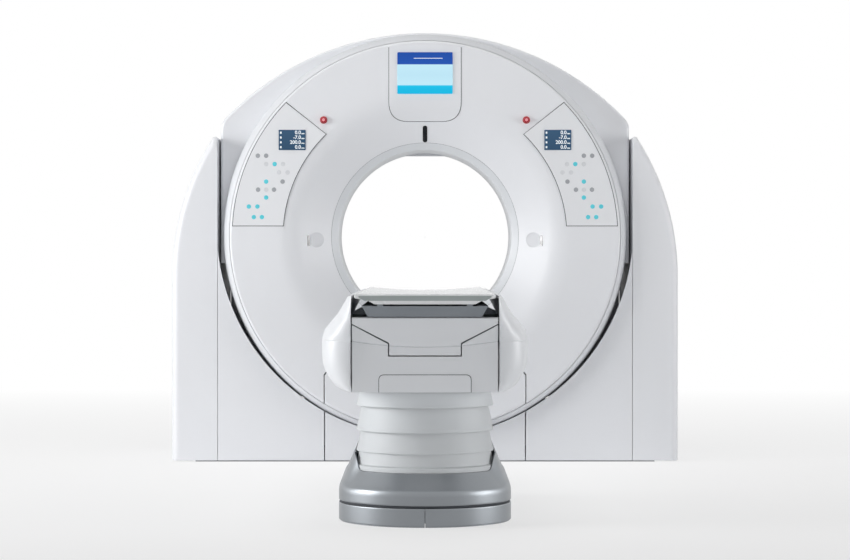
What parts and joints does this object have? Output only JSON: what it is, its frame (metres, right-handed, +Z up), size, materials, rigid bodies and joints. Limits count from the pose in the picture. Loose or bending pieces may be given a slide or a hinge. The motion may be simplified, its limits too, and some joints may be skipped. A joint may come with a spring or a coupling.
{
  "type": "ct scanner",
  "caption": "Tilting round gantry with a wide bore between two tall side covers, and a patient couch on a stepped, flared pedestal in front of it.",
  "frame": {"origin": "on the floor, straight below the centre of the bore", "axes": "+Z up, -Y towards the couch along the bore's axis, +X to the right as seen from the couch"},
  "size_m": [2.27, 3.815, 1.9288],
  "materials": {
    "cover_white": "satin",
    "trim_grey": "satin",
    "liner_white": "satin",
    "display_glass": "gloss",
    "panel_glass": "gloss",
    "laser_dark": "gloss",
    "socket_grey": "matte",
    "stop_red": "satin",
    "frame_steel": "satin",
    "bearing_steel": "satin",
    "weight_iron": "matte",
    "cast_alloy": "satin",
    "ring_insulator": "matte",
    "duct_grey": "matte",
    "base_silver": "satin",
    "skirt_grey": "matte",
    "couch_white": "satin",
    "tabletop_white": "satin"
  },
  "bodies": {
    "base": {"gantry_base_plate": "frame_steel", "left_stand": "frame_steel", "right_stand": "frame_steel", "left_tilt_bearing": "bearing_steel", "right_tilt_bearing": "bearing_steel", "tilt_gearmotor": "frame_steel", "left_side_cover": "cover_white", "right_side_cover": "cover_white", "front_left_lower_cover": "cover_white", "front_centre_lower_cover": "cover_white", "front_right_lower_cover": "cover_white", "rear_lower_cover": "cover_white", "couch_floor_plate": "frame_steel", "floor_duct": "duct_grey", "couch_plinth": "base_silver", "couch_base_cover": "base_silver", "skirt_collar": "skirt_grey", "front_lift_column": "frame_steel", "rear_lift_column": "frame_steel"},
    "drum": {"tilt_frame": "cast_alloy", "main_bearing_housing": "bearing_steel", "bore_liner": "liner_white", "front_cover": "cover_white", "front_service_panel": "cover_white", "ring_trim": "trim_grey", "rear_cover": "cover_white", "hood": "cover_white", "lower_drum_cover": "cover_white", "display_surround": "cover_white", "main_display": "display_glass", "left_control_panel": "cover_white", "right_control_panel": "cover_white", "left_panel_display": "panel_glass", "right_panel_display": "panel_glass", "estop_sockets": "socket_grey", "laser_windows": "laser_dark", "bore_indicator": "trim_grey"},
    "rotor": {"rotor_drum": "cast_alloy", "x_ray_tube": "frame_steel", "detector_array": "frame_steel", "generator": "cast_alloy", "heat_exchanger": "cast_alloy", "counterweight": "weight_iron", "slip_ring": "ring_insulator"},
    "left_estop": {"left_estop_button": "stop_red"},
    "right_estop": {"right_estop_button": "stop_red"},
    "upper_skirt": {"skirt_upper": "skirt_grey"},
    "middle_skirt": {"skirt_middle": "skirt_grey"},
    "lower_skirt": {"skirt_lower": "skirt_grey"},
    "couch": {"couch_frame": "cast_alloy", "foot_panel": "couch_white", "foot_upper_cover": "couch_white", "foot_access_panel": "couch_white", "left_side_shell": "couch_white", "right_side_shell": "couch_white", "couch_belly_pan": "couch_white", "couch_end_cover": "couch_white", "rail_bed": "cast_alloy"},
    "table": {"tabletop": "tabletop_white", "tabletop_end_cap": "tabletop_white"}
  },
  "joints": [
    {"name": "gantry_tilt", "type": "hinge", "parent": "base", "child": "drum", "pos_m": [0, 0, 1.01], "axis": [1, 0, 0], "range_deg": [-30, 30]},
    {"name": "rotor_spin", "type": "hinge", "parent": "drum", "child": "rotor", "pos_m": [0, 0, 1.01], "axis": [0, 1, 0], "continuous": true},
    {"name": "left_estop_press", "type": "slide", "parent": "drum", "child": "left_estop", "axis": [0, 1, 0], "range_m": [0, 0.0035], "stiffness_N_per_m": 2500, "springref_m": -0.001},
    {"name": "right_estop_press", "type": "slide", "parent": "drum", "child": "right_estop", "axis": [0, 1, 0], "range_m": [0, 0.0035], "stiffness_N_per_m": 2500, "springref_m": -0.001},
    {"name": "couch_lift", "type": "slide", "parent": "base", "child": "couch", "axis": [0, 0, 1], "range_m": [-0.19, 0.12]},
    {"name": "table_slide", "type": "slide", "parent": "couch", "child": "table", "axis": [0, 1, 0], "range_m": [0, 1.75]},
    {"name": "upper_skirt_slide", "type": "slide", "parent": "base", "child": "upper_skirt", "axis": [0, 0, 1], "range_m": [-0.14801, 0.09348]},
    {"name": "middle_skirt_slide", "type": "slide", "parent": "base", "child": "middle_skirt", "axis": [0, 0, 1], "range_m": [-0.08001, 0.05054]},
    {"name": "lower_skirt_slide", "type": "slide", "parent": "base", "child": "lower_skirt", "axis": [0, 0, 1], "range_m": [-0.02601, 0.01643]}
  ],
  "couplings": [
    {"joint": "upper_skirt_slide", "follows": "couch_lift", "ratio": 0.77895},
    {"joint": "middle_skirt_slide", "follows": "couch_lift", "ratio": 0.42105},
    {"joint": "lower_skirt_slide", "follows": "couch_lift", "ratio": 0.13684}
  ]
}
